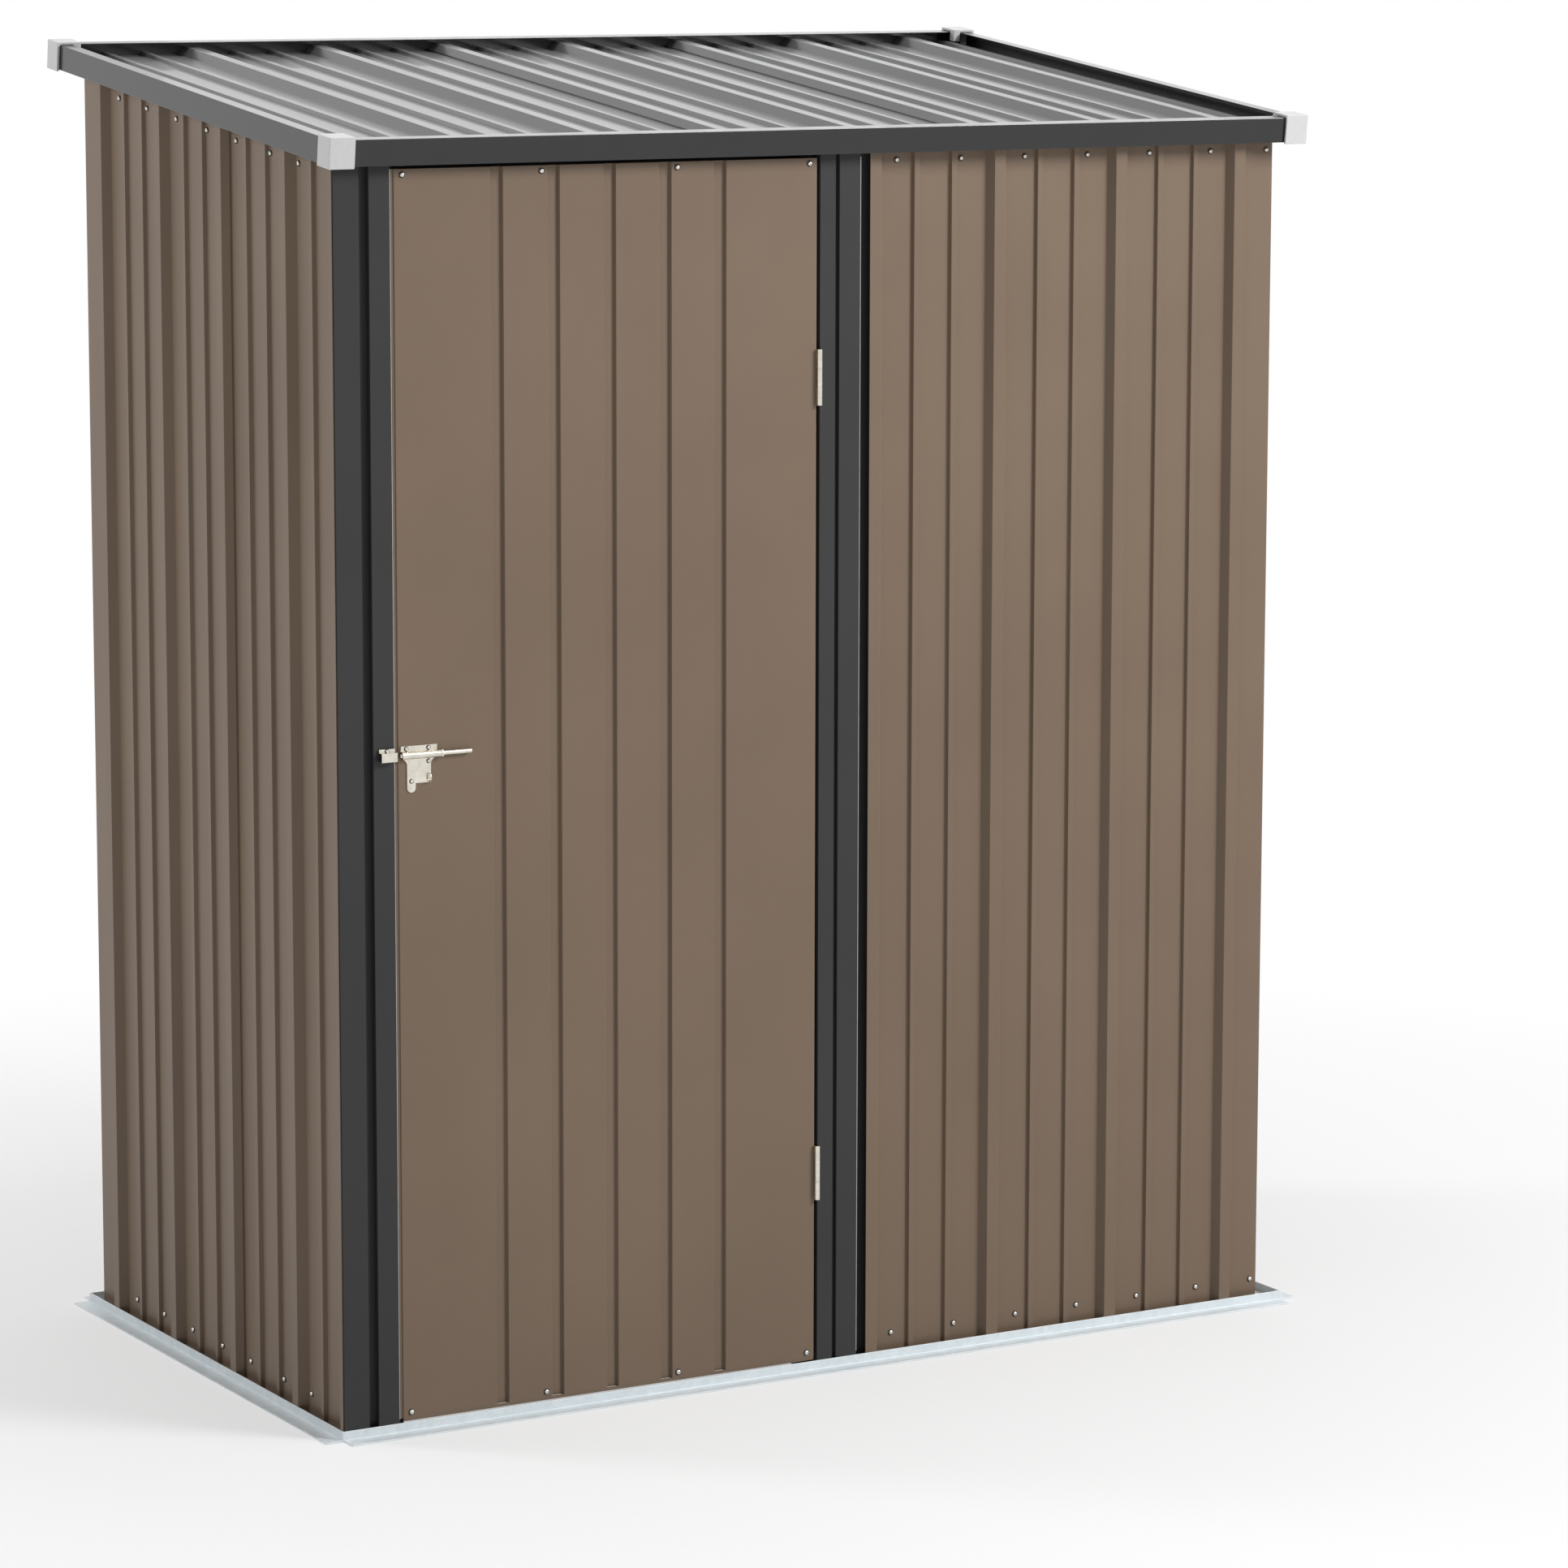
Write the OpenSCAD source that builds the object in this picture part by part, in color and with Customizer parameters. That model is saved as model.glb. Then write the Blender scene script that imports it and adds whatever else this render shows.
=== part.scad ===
// Metal tool shed with a lean-to roof, ribbed sheet walls and one hinged door.
// Building frame: x along the front from the left lip, y to the back from the front lip, z up from the ground

/* [Base frame] */
// Length of the base frame over its lips
base_l = 1518; // [1400:1:1800]
// Depth of the base frame over its lips
base_d = 846; // [780:1:1100]
// Width of the flange that lies on the ground
flange_w = 25; // [15:1:40]
// Height of the lip in front of the wall sheets
lip_h = 14; // [8:1:16]
// Height of the inner upstand that the wall sheets are screwed to
upstand_h = 45; // [30:1:70]
// Thickness of the base rails
rail_t = 2; // [1:0.1:3]
// Distance from the right lip to the rib tops of the right wall
inset_right = 23; // [5:1:40]
// Distance from the back lip to the rib tops of the back wall
inset_back = 8; // [4:1:40]

/* [Ribbed sheet] */
// Thickness of the wall and roof sheets
sheet_t = 1.2; // [0.8:0.1:2]
// Distance between main ribs
rib_pitch = 200; // [180:1:240]
// Height of a main rib
rib_h = 12; // [8:0.5:16]
// Width of a main rib at its top
rib_top = 18; // [12:1:26]
// Run of a main rib's flank
rib_run = 8; // [5:0.5:12]
// Height of a minor rib
minor_h = 5; // [3:0.5:7]
// Width of a minor rib at its top
minor_top = 8.6; // [6:0.2:14]
// Run of a minor rib's flank
minor_run = 2; // [1:0.5:5]
// Distance from a main rib to the minor ribs beside it
minor_off = 70; // [50:1:80]
// Distance from the front lip to the first main rib of the side walls
side_rib_y = 152; // [140:1:180]

/* [Posts and rails] */
// Thickness of the folded posts, rails and fascias
frame_t = 1.6; // [1:0.1:2.5]
// Width of the corner post beside the door
corner_post_w = 82; // [70:1:110]
// Width of the corner post's flat beside the corner
corner_flat_w = 37; // [25:1:45]
// Width of the corner post's groove
corner_groove_w = 14; // [8:1:20]
// Depth of the corner post's groove
corner_groove_d = 10; // [4:1:14]
// Clear width between the two posts of the doorway
doorway_w = 646; // [560:1:700]
// Width of the door post up to the front wall panel
door_post_w = 79; // [70:1:100]
// Width of the door post's flat beside the doorway
hinge_flat_w = 24.5; // [18:0.5:32]
// Width of the door post's groove
hinge_groove_w = 6; // [4:0.5:10]
// Depth of the door post's groove
hinge_groove_d = 7; // [4:0.5:12]
// Width of the open recess between the door post and the front wall panel
recess_w = 15; // [8:1:20]
// Depth of the stop that the doorway posts turn behind the door
stop_d = 18; // [10:1:30]
// Length of the post flanges that lie against the wall sheets
leg_l = 40; // [30:1:60]
// Height of the wall top rails
top_rail_h = 40; // [30:1:60]
// Width of the flanges of the wall top rails
top_rail_w = 25; // [15:1:40]

/* [Roof] */
// Height of the front edge of the roof frame
eave_h = 1720; // [1500:1:2100]
// Slope of the roof in degrees
roof_pitch = 6.54; // [4:0.01:12]
// Overhang of the roof frame past the side rib tops
overhang_side = 13; // [8:1:60]
// Overhang of the roof frame past the front rib tops
overhang_front = 29; // [20:1:80]
// Overhang of the roof frame past the back rib tops
overhang_back = 45; // [20:1:80]
// Height of the fascia's face
fascia_h = 35; // [30:1:60]
// Width of the fascia's top flange
fascia_w = 20; // [12:1:30]
// Depth of the roof sheet's pans under the top of the fascia
sheet_drop = 20; // [16:0.5:26]
// Distance from the left edge of the roof to its first main rib
roof_rib_x = 213; // [160:1:230]
// Length of a corner cap's sides
cap_l = 36; // [30:1:50]
// Wall of a corner cap
cap_t = 4; // [2:0.5:6]

/* [Door] */
// Depth of the door's folded edges
door_t = 20; // [16:1:28]
// Gap around the door, also to the stops behind it
door_gap = 5.3; // [5:0.1:8]
// Width of the door's folded back lips
door_lip = 14; // [8:1:20]
// Number of pressed grooves in the door
groove_n = 5; // [1:1:6]
// Distance between the door's grooves
groove_pitch = 84; // [60:1:90]
// Width of a door groove at the door's face
groove_w = 18.5; // [12:0.5:26]
// Depth of a door groove
groove_d = 5; // [3:0.5:6]
// Run of a door groove's flank
groove_run = 3; // [1:0.5:5]
// Height of the rails inside the door
door_rail_h = 30; // [20:1:50]

/* [Hinges] */
// Length of a hinge
hinge_l = 76; // [50:1:100]
// Diameter of the hinge barrel
barrel_d = 8; // [7:0.5:12]
// Diameter of the hinge pin
pin_d = 3.4; // [2.5:0.1:4]
// Thickness of the hinge leaves
leaf_t = 1.5; // [1:0.1:1.8]
// Height of the lower hinge's bottom end
hinge_low_z = 244; // [150:1:500]
// Height of the upper hinge's bottom end
hinge_high_z = 1346; // [900:1:1380]

/* [Latch] */
// Height of the latch bolt
bolt_z = 914; // [700:1:1150]
// Diameter of the latch bolt
bolt_d = 6.6; // [5:0.1:9]
// Length of the latch bolt
bolt_l = 106; // [100:1:130]
// Distance that the bolt slides
bolt_travel = 27; // [22:1:30]
// Gap between the drawn bolt and its keeper
bolt_free = 6; // [5:0.5:8]
// Thickness of the latch plate and keeper
latch_t = 1.5; // [1:0.1:2.5]
// Width of the keeper's foot
keeper_foot = 6; // [4:0.5:10]
// Width of the latch plate
plate_w = 53; // [45:1:58]
// Height of the latch plate over the bolt
plate_up = 12; // [9:1:18]
// Depth of the latch plate under the bolt
plate_down = 38; // [28:1:50]
// Radius of the shoulders where the latch plate narrows
shoulder_r = 9; // [5:0.5:12]
// Length of the tail at the foot of the latch plate
tail_l = 12; // [8:1:20]
// Width of that tail
tail_w = 12.5; // [8:0.5:16]
// Length of the barrel that guides the bolt
barrel_l = 60; // [50:1:70]
// Outer size of the staple for a padlock
staple_d = 14; // [12:0.5:18]
// Thickness of the staple's wire
staple_wire = 3; // [2:0.1:4]

/* [Hidden] */
$fn = 48;

// Colours of the finishes
brown = [0.50, 0.44, 0.38];
anthracite = [0.24, 0.24, 0.25];
galvanised = [0.78, 0.81, 0.83];
cap_grey = [0.82, 0.82, 0.82];
nickel = [0.86, 0.84, 0.79];

// Clearance of pieces that are pushed or set into place
fit = 0.2;
// Running clearance of the hinge knuckles and of the bolt in its guides
run = 0.3;
// Cut that passes clear of the solid
over = 1;

// Planes of the rib tops, of the pans and of the sheets' inner faces
rib_x0 = rail_t + fit;
rib_x1 = base_l - inset_right;
rib_y0 = rail_t + fit;
rib_y1 = base_d - inset_back;
pan_x0 = rib_x0 + rib_h;
pan_x1 = rib_x1 - rib_h;
pan_y0 = rib_y0 + rib_h;
pan_y1 = rib_y1 - rib_h;
in_x0 = pan_x0 + sheet_t;
in_x1 = pan_x1 - sheet_t;
in_y0 = pan_y0 + sheet_t;
in_y1 = pan_y1 - sheet_t;

// Roof frame in plan, its length along the slope and the sheet's underside
roof_x0 = rib_x0 - overhang_side;
roof_x1 = rib_x1 + overhang_side;
roof_y0 = rib_y0 - overhang_front;
roof_y1 = rib_y1 + overhang_back;
roof_l = roof_x1 - roof_x0;
roof_s = (roof_y1 - roof_y0) / cos(roof_pitch);
sheet_under = sheet_drop + sheet_t;
// Height of the roof sheet's underside at a depth y
function roof_under(y) = eave_h + (y - roof_y0) * tan(roof_pitch) - sheet_under / cos(roof_pitch);
// Height of the front fascia's lower edge
fascia_low = eave_h - fascia_h * cos(roof_pitch);

// Places along the front
post_x0 = rib_x0 + sheet_t + fit;
post_x1 = post_x0 + corner_post_w;
door_post_x0 = post_x1 + doorway_w;
door_post_x1 = door_post_x0 + door_post_w;
door_x0 = post_x1 + door_gap;
door_x1 = door_post_x0 - door_gap;
door_z0 = lip_h + door_gap;
door_z1 = fascia_low - door_gap;
door_back = rib_y0 + door_t;
stop_y = door_back + door_gap;
front_rib_x = door_post_x1 + rib_top / 2;

// Hinge axis in the middle of the gap, with the barrel in front of the door's face
hinge_x = (door_x1 + door_post_x0) / 2;
hinge_y = rib_y0 - barrel_d / 2;

// Setbacks of the latch pieces from the edge beside them, and the keeper's length past the shot bolt
keeper_set = 1;
barrel_set = 2;
plate_set = 1;
keeper_past = 2;
// Latch places: the bolt is drawn at rest
keeper_x1 = post_x1 - keeper_set;
keeper_x0 = keeper_x1 - bolt_travel + bolt_free - keeper_past;
bolt_x0 = keeper_x1 + bolt_free;
bolt_y = rib_y0 - latch_t - run - bolt_d / 2;
barrel_x0 = door_x0 + barrel_set;
plate_x0 = barrel_x0 + plate_set;
plate_x1 = plate_x0 + plate_w;

// Origin of the part: middle of the base frame's length, middle of the roof's depth, on the ground
module place() {
  translate([-base_l / 2, -(roof_y0 + roof_y1) / 2, 0]) children();
}

// Roof frame's own axes: x to the right, y up the slope, z out of the roof from the fascia's top
module on_roof() {
  place() translate([roof_x0, roof_y0, eave_h]) rotate([roof_pitch, 0, 0]) children();
}

// Extrusion along x of a profile drawn in y and z
module along_x(x0, x1) {
  translate([x0, 0, 0]) rotate([90, 0, 90]) linear_extrude(x1 - x0) children();
}

// Extrusion along y of a profile drawn in x and z
module along_y(y0, y1) {
  translate([0, y1, 0]) rotate([90, 0, 0]) linear_extrude(y1 - y0) children();
}

// Folded sheet: a path and its copy at distance t to the left of it
function unit(v) = v / norm(v);
function left_of(d) = [-d[1], d[0]];
function side(p, i) = left_of(unit(p[i + 1] - p[i]));
function shifted(p, t) = [
  for (i = [0 : len(p) - 1])
    let (a = side(p, max(i - 1, 0)), b = side(p, min(i, len(p) - 2)))
    p[i] + t * (a + b) / (1 + a * b)
];
function reversed(p) = [for (i = [len(p) - 1 : -1 : 0]) p[i]];
function folded(p, t) = concat(p, reversed(shifted(p, t)));

// Ribs of a sheet, drawn as distance along the wall and height over the pans
function rib(c, top, rise, slope) = [
  [c - top / 2 - slope, 0], [c - top / 2, rise], [c + top / 2, rise], [c + top / 2 + slope, 0]
];
function main_rib(c) = rib(c, rib_top, rib_h, rib_run);
function minor_rib(c) = rib(c, minor_top, minor_h, minor_run);
// Ribs between two places, where first is the place of any main rib
function ribs(first, low, high) = [
  for (k = [floor((low - first) / rib_pitch) - 1 : ceil((high - first) / rib_pitch) + 1])
    for (r = [[0, 1], [minor_off, 0], [rib_pitch - minor_off, 0]])
      let (c = first + k * rib_pitch + r[0])
      if (c > low + rib_top + rib_run && c < high - rib_top - rib_run)
        each (r[1] == 1 ? main_rib(c) : minor_rib(c))
];
// Two sheets lap on a main rib: the upper one covers it and the lower one ends inside it
lap = sheet_t + fit;
flank = norm([rib_run, rib_h]);
lap_shift = lap * flank / rib_h;
lap_start_z = lap + fit;
function lap_over(c) = [
  [c - rib_top / 2 - rib_run * (1 - lap_start_z / rib_h), lap_start_z],
  [c - rib_top / 2, rib_h], [c + rib_top / 2, rib_h], [c + rib_top / 2 + rib_run, 0]
];
function lap_under(c) = [
  [c - rib_top / 2 - rib_run + lap_shift, 0],
  [c - rib_top / 2 - rib_run + lap_shift + rib_run * (1 - lap / rib_h), rib_h - lap],
  [c + rib_top / 4, rib_h - lap]
];
// Main rib nearest to a place
function nearest_main(first, target) = first + rib_pitch * round((target - first) / rib_pitch);

// Fold at the front end of the left wall, flush with its rib tops: its setback and the width of its flat
fold_set = 1.8;
fold_top = 9;
fold_s = rib_y0 + fold_set;
fold_end = fold_s + fold_top + rib_run;
left_fold = [[fold_s, rib_h], [fold_s + fold_top, rib_h], [fold_end, 0]];

// Shares of a length at which its sheets lap
lap_shares = [0.4, 0.67];
side_lap = nearest_main(side_rib_y, base_d * lap_shares[0]);
back_lap_a = nearest_main(front_rib_x, base_l * lap_shares[0]);
back_lap_b = nearest_main(front_rib_x, base_l * lap_shares[1]);
roof_lap_a = nearest_main(roof_rib_x, roof_l * lap_shares[0]);
roof_lap_b = nearest_main(roof_rib_x, roof_l * lap_shares[1]);

// Sheets as outlines of distance and height: from a start over the ribs between two places to an end
function sheet(start, first, low, high, end) = folded(concat(start, ribs(first, low, high), end), -sheet_t);
function edge(s) = [[s, 0]];
left_front_sheet = sheet(left_fold, side_rib_y, fold_end, side_lap, lap_under(side_lap));
right_front_sheet = sheet(edge(in_y0), side_rib_y, in_y0, side_lap, lap_under(side_lap));
side_back_sheet = sheet(lap_over(side_lap), side_rib_y, side_lap, pan_y1, edge(pan_y1));
back_left_sheet = sheet(edge(in_x0), front_rib_x, in_x0, back_lap_a, lap_under(back_lap_a));
back_middle_sheet = sheet(lap_over(back_lap_a), front_rib_x, back_lap_a, back_lap_b, lap_under(back_lap_b));
back_right_sheet = sheet(lap_over(back_lap_b), front_rib_x, back_lap_b, in_x1, edge(in_x1));
// The front sheet starts with a half-open main rib against the door post
front_rib_x1 = front_rib_x + rib_top / 2;
front_start = [[door_post_x1, rib_h], [front_rib_x1, rib_h], [front_rib_x1 + rib_run, 0]];
front_sheet = sheet(front_start, front_rib_x, front_rib_x, pan_x1, edge(pan_x1));
roof_low = frame_t + fit;
roof_high = roof_l - frame_t - fit;
roof_left_sheet = sheet(edge(roof_low), roof_rib_x, roof_low, roof_lap_a, lap_under(roof_lap_a));
roof_middle_sheet = sheet(lap_over(roof_lap_a), roof_rib_x, roof_lap_a, roof_lap_b, lap_under(roof_lap_b));
roof_right_sheet = sheet(lap_over(roof_lap_b), roof_rib_x, roof_lap_b, roof_high, edge(roof_high));

// Upright wall sheet cut off under the roof sheet
module wall_sheet(points) {
  color(brown) place() intersection() {
    translate([0, 0, rail_t]) linear_extrude(roof_under(base_d)) polygon(points);
    along_x(-flange_w, base_l + flange_w) polygon([
      [-flange_w, 0], [base_d + flange_w, 0],
      [base_d + flange_w, roof_under(base_d + flange_w) - fit], [-flange_w, roof_under(-flange_w) - fit]
    ]);
  }
}
function on_front(points) = [for (p = points) [p[0], pan_y0 - p[1]]];
function on_back(points) = [for (p = points) [p[0], pan_y1 + p[1]]];
function on_left(points) = [for (p = points) [pan_x0 - p[1], p[0]]];
function on_right(points) = [for (p = points) [pan_x1 + p[1], p[0]]];

module front_wall_panel() { wall_sheet(on_front(front_sheet)); }
module left_wall_panel_front() { wall_sheet(on_left(left_front_sheet)); }
module left_wall_panel_back() { wall_sheet(on_left(side_back_sheet)); }
module right_wall_panel_front() { wall_sheet(on_right(right_front_sheet)); }
module right_wall_panel_back() { wall_sheet(on_right(side_back_sheet)); }
module back_wall_panel_left() { wall_sheet(on_back(back_left_sheet)); }
module back_wall_panel_middle() { wall_sheet(on_back(back_middle_sheet)); }
module back_wall_panel_right() { wall_sheet(on_back(back_right_sheet)); }

// Box between two corners
module box(a, b) {
  translate(a) cube(b - a);
}

// Inner faces of the base rails' upstands and the ends of the upstands beside the posts
front_in = in_y0 + rail_t;
back_in = in_y1 - rail_t;
left_in = in_x0 + rail_t;
right_in = in_x1 - rail_t;
door_leg_x1 = door_post_x1 + rib_top + rib_run + leg_l / 2;
corner_leg_y1 = in_y0 + rib_run + leg_l;

module base_rail_front() {
  color(galvanised) place() union() {
    box([rail_t, -flange_w, 0], [base_l - rail_t, front_in, rail_t]);
    box([rail_t, 0, 0], [base_l - rail_t, rail_t, lip_h]);
    box([door_leg_x1 + fit, in_y0, 0], [in_x1 - leg_l - fit, front_in, upstand_h]);
  }
}
module base_rail_back() {
  color(galvanised) place() union() {
    box([rail_t, back_in, 0], [base_l - rail_t, base_d + flange_w, rail_t]);
    box([rail_t, base_d - rail_t, 0], [base_l - rail_t, base_d, lip_h]);
    box([in_x0 + leg_l + fit, back_in, 0], [in_x1 - leg_l - fit, in_y1, upstand_h]);
  }
}
// Side rails: their lips close the ends of the front and back rails
module side_rail(lip_x, out, upstand_x0, upstand_x1, upstand_y0) {
  lip = [min(lip_x, lip_x - out * rail_t), max(lip_x, lip_x - out * rail_t)];
  tip = lip_x + out * flange_w;
  floor_x = [min(lip_x, upstand_x0, upstand_x1), max(lip_x, upstand_x0, upstand_x1)];
  color(galvanised) place() union() {
    box([min(lip_x, tip), 0, 0], [max(lip_x, tip), base_d, rail_t]);
    box([floor_x[0], front_in, 0], [floor_x[1], back_in, rail_t]);
    box([lip[0], 0, 0], [lip[1], base_d, lip_h]);
    box([upstand_x0, upstand_y0, 0], [upstand_x1, in_y1 - leg_l - fit, upstand_h]);
  }
}
module base_rail_left() { side_rail(0, -1, in_x0, left_in, corner_leg_y1 + fit); }
module base_rail_right() { side_rail(base_l, 1, right_in, in_x1, in_y0 + leg_l + fit); }

// Folded post that stands on the base rail's floor and ends under the roof sheet
module post(path, top) {
  color(anthracite) place()
    translate([0, 0, rail_t]) linear_extrude(top - rail_t - fit) polygon(folded(path, frame_t));
}
// The corner post beside the door lies inside the left wall's front fold and turns a stop behind the door
module corner_post_front_left() {
  inside = shifted(concat(left_fold, [[corner_leg_y1, 0]]), -sheet_t - fit);
  fold_in = [for (p = inside) [pan_x0 - p[1], p[0]]];
  groove_x0 = post_x0 + corner_flat_w;
  groove_x1 = groove_x0 + corner_groove_w;
  groove_y = rib_y0 + corner_groove_d;
  post([
    fold_in[3], fold_in[2], fold_in[1], [post_x0, rib_y0],
    [groove_x0, rib_y0], [groove_x0, groove_y], [groove_x1, groove_y], [groove_x1, rib_y0],
    [post_x1, rib_y0], [post_x1, stop_y], [post_x1 + stop_d, stop_y], [post_x1 + stop_d, stop_y + stop_d]
  ], roof_under(rib_y0));
}
module door_post() {
  groove_x0 = door_post_x0 + hinge_flat_w;
  groove_x1 = groove_x0 + hinge_groove_w;
  groove_y = rib_y0 + hinge_groove_d;
  recess_x = door_post_x1 - recess_w;
  post([
    [door_post_x0 - stop_d, stop_y + stop_d], [door_post_x0 - stop_d, stop_y], [door_post_x0, stop_y],
    [door_post_x0, rib_y0], [groove_x0, rib_y0], [groove_x0, groove_y], [groove_x1, groove_y],
    [groove_x1, rib_y0], [recess_x, rib_y0], [recess_x, in_y0], [door_leg_x1, in_y0]
  ], roof_under(rib_y0));
}
module corner_post_front_right() {
  post([[in_x1 - leg_l, in_y0], [in_x1, in_y0], [in_x1, in_y0 + leg_l]], roof_under(in_y0));
}
module corner_post_back_right() {
  post([[in_x1, in_y1 - leg_l], [in_x1, in_y1], [in_x1 - leg_l, in_y1]], roof_under(in_y1 - leg_l));
}
module corner_post_back_left() {
  post([[in_x0 + leg_l, in_y1], [in_x0, in_y1], [in_x0, in_y1 - leg_l]], roof_under(in_y1 - leg_l));
}

// Channel rails along the tops of the walls, with their upper flanges under the roof sheet
function rail_top(y) = roof_under(y) - fit;
module cross_rail(x0, x1, y, depth) {
  low = min(rail_top(y), rail_top(y + depth)) - top_rail_h;
  path = [[y + depth, low], [y, low], [y, rail_top(y)], [y + depth, rail_top(y + depth)]];
  color(anthracite) place() along_x(x0, x1) polygon(folded(path, depth > 0 ? -frame_t : frame_t));
}
module door_head() {
  head_set = frame_t + fit;
  cross_rail(post_x1 + head_set, door_post_x0 - head_set, stop_y + stop_d + fit, top_rail_w);
}
module top_rail_front() { cross_rail(door_leg_x1 + fit, in_x1 - leg_l - fit, in_y0 + fit, top_rail_w); }
module top_rail_back() { cross_rail(in_x0 + leg_l + fit, in_x1 - leg_l - fit, in_y1 - fit, -top_rail_w); }
module slope_rail(x, y0, y1, depth) {
  u = x - roof_x0;
  top = -sheet_under - fit;
  path = [[u + depth, top - top_rail_h], [u, top - top_rail_h], [u, top], [u + depth, top]];
  color(anthracite) on_roof()
    along_y((y0 - roof_y0) / cos(roof_pitch), (y1 - roof_y0) / cos(roof_pitch))
      polygon(folded(path, depth > 0 ? -frame_t : frame_t));
}
// The slope rails lean with the roof, so they keep clear of the upright posts by their own lean
lean = (sheet_under + fit + top_rail_h) * tan(roof_pitch);
slope_rail_y1 = in_y1 - leg_l - lean - fit;
module top_rail_left() { slope_rail(in_x0 + fit, corner_leg_y1 + fit, slope_rail_y1, top_rail_w); }
module top_rail_right() { slope_rail(in_x1 - fit, in_y0 + leg_l + fit, slope_rail_y1, -top_rail_w); }

// Roof sheets between the fascias
module roof_sheet(points) {
  color(anthracite) on_roof() translate([0, 0, -sheet_drop])
    along_y(frame_t + fit, roof_s - frame_t - fit) polygon(points);
}
module roof_sheet_left() { roof_sheet(roof_left_sheet); }
module roof_sheet_middle() { roof_sheet(roof_middle_sheet); }
module roof_sheet_right() { roof_sheet(roof_right_sheet); }

// Fascias: the front and back ones run between the caps' walls, the side ones end at their flanges
fascia_path = [[fascia_w, 0], [0, 0], [0, -fascia_h]];
fascia_end = fascia_w + fit;
module cross_fascia() {
  color(anthracite) along_x(0, roof_l) polygon(folded(fascia_path, frame_t));
}
module slope_fascia() {
  color(anthracite) along_y(fascia_end, roof_s - fascia_end) polygon(folded(fascia_path, frame_t));
}
module roof_fascia_front() { on_roof() cross_fascia(); }
module roof_fascia_back() { on_roof() translate([0, roof_s, 0]) mirror([0, 1, 0]) cross_fascia(); }
module roof_fascia_left() { on_roof() slope_fascia(); }
module roof_fascia_right() { on_roof() translate([roof_l, 0, 0]) mirror([1, 0, 0]) slope_fascia(); }

// Corner cap: two outer walls and a top over the fascia ends, with a leg in their inner corner
// that ends over the roof sheet's pans
cap_drop = 2;
module cap() {
  low = -fascia_h - cap_drop;
  leg = fascia_w + fit;
  leg_low = rib_h / 2 - sheet_drop;
  color(cap_grey) union() {
    box([-cap_t - fit, -cap_t - fit, low], [-fit, cap_l - cap_t, cap_t]);
    box([-cap_t - fit, -cap_t - fit, low], [cap_l - cap_t, -fit, cap_t]);
    box([-cap_t - fit, -cap_t - fit, fit], [cap_l - cap_t, cap_l - cap_t, cap_t]);
    box([leg, leg, leg_low], [cap_l - cap_t, cap_l - cap_t, cap_t]);
  }
}
module roof_cap_front_left() { on_roof() cap(); }
module roof_cap_front_right() { on_roof() translate([roof_l, 0, 0]) mirror([1, 0, 0]) cap(); }
module roof_cap_back_left() { on_roof() translate([0, roof_s, 0]) mirror([0, 1, 0]) cap(); }
module roof_cap_back_right() { on_roof() translate([roof_l, roof_s, 0]) rotate([0, 0, 180]) cap(); }

// Door skin: one folded sheet with pressed grooves and edges turned back to lips
module door_skin() {
  middle = (door_x0 + door_x1) / 2;
  floor_half = groove_w / 2 - groove_run;
  grooves = [
    for (k = [0 : groove_n - 1])
      let (c = middle + (k - (groove_n - 1) / 2) * groove_pitch)
      each [
        [c - groove_w / 2, rib_y0], [c - floor_half, rib_y0 + groove_d],
        [c + floor_half, rib_y0 + groove_d], [c + groove_w / 2, rib_y0]
      ]
  ];
  path = concat(
    [[door_x0 + door_lip, door_back], [door_x0, door_back], [door_x0, rib_y0]],
    grooves,
    [[door_x1, rib_y0], [door_x1, door_back], [door_x1 - door_lip, door_back]]
  );
  color(brown) place()
    translate([0, 0, door_z0]) linear_extrude(door_z1 - door_z0) polygon(folded(path, sheet_t));
}
// Channels behind the door's grooves, at its top and bottom edges
module door_rail(z0) {
  front = rib_y0 + groove_d + sheet_t;
  back = door_back - sheet_t - fit;
  path = [[back, z0], [front, z0], [front, z0 + door_rail_h], [back, z0 + door_rail_h]];
  color(brown) place()
    along_x(door_x0 + sheet_t + fit, door_x1 - sheet_t - fit) polygon(folded(path, -frame_t));
}
module door_top_rail() { door_rail(door_z1 - door_rail_h); }
module door_bottom_rail() { door_rail(door_z0); }

// Butt hinge: leaves in the gap beside the door, set in from its back, and knuckles round a pin in front
knuckle_l = hinge_l / 3;
leaf_set = 2;
leaf_back = door_back - leaf_set;
barrel_gap = 0.5;
module knuckle(z0, z1) {
  translate([hinge_x, hinge_y, z0]) cylinder(d = barrel_d, h = z1 - z0);
}
module leaf(x0, z0, own0, own1) {
  box([x0, hinge_y + barrel_d / 2 + barrel_gap, z0], [x0 + leaf_t, leaf_back, z0 + hinge_l]);
  box([x0, hinge_y + pin_d / 2 + run, own0], [x0 + leaf_t, leaf_back, own1]);
}
module door_leaf(z0) {
  low = z0 + knuckle_l + run;
  high = z0 + 2 * knuckle_l - run;
  color(nickel) place() difference() {
    union() {
      leaf(door_x1, z0, low, high);
      knuckle(low, high);
    }
    translate([hinge_x, hinge_y, low - over]) cylinder(d = pin_d + 2 * run, h = high - low + 2 * over);
  }
}
module post_leaf(z0) {
  low = z0 + knuckle_l;
  high = z0 + 2 * knuckle_l;
  color(nickel) place() union() {
    leaf(door_post_x0 - leaf_t, z0, z0, low);
    leaf(door_post_x0 - leaf_t, z0, high, z0 + hinge_l);
    knuckle(z0, low);
    knuckle(high, z0 + hinge_l);
    translate([hinge_x, hinge_y, z0]) cylinder(d = pin_d, h = hinge_l);
  }
}
module hinge_upper_door_leaf() { door_leaf(hinge_high_z); }
module hinge_upper_post_leaf() { post_leaf(hinge_high_z); }
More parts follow.
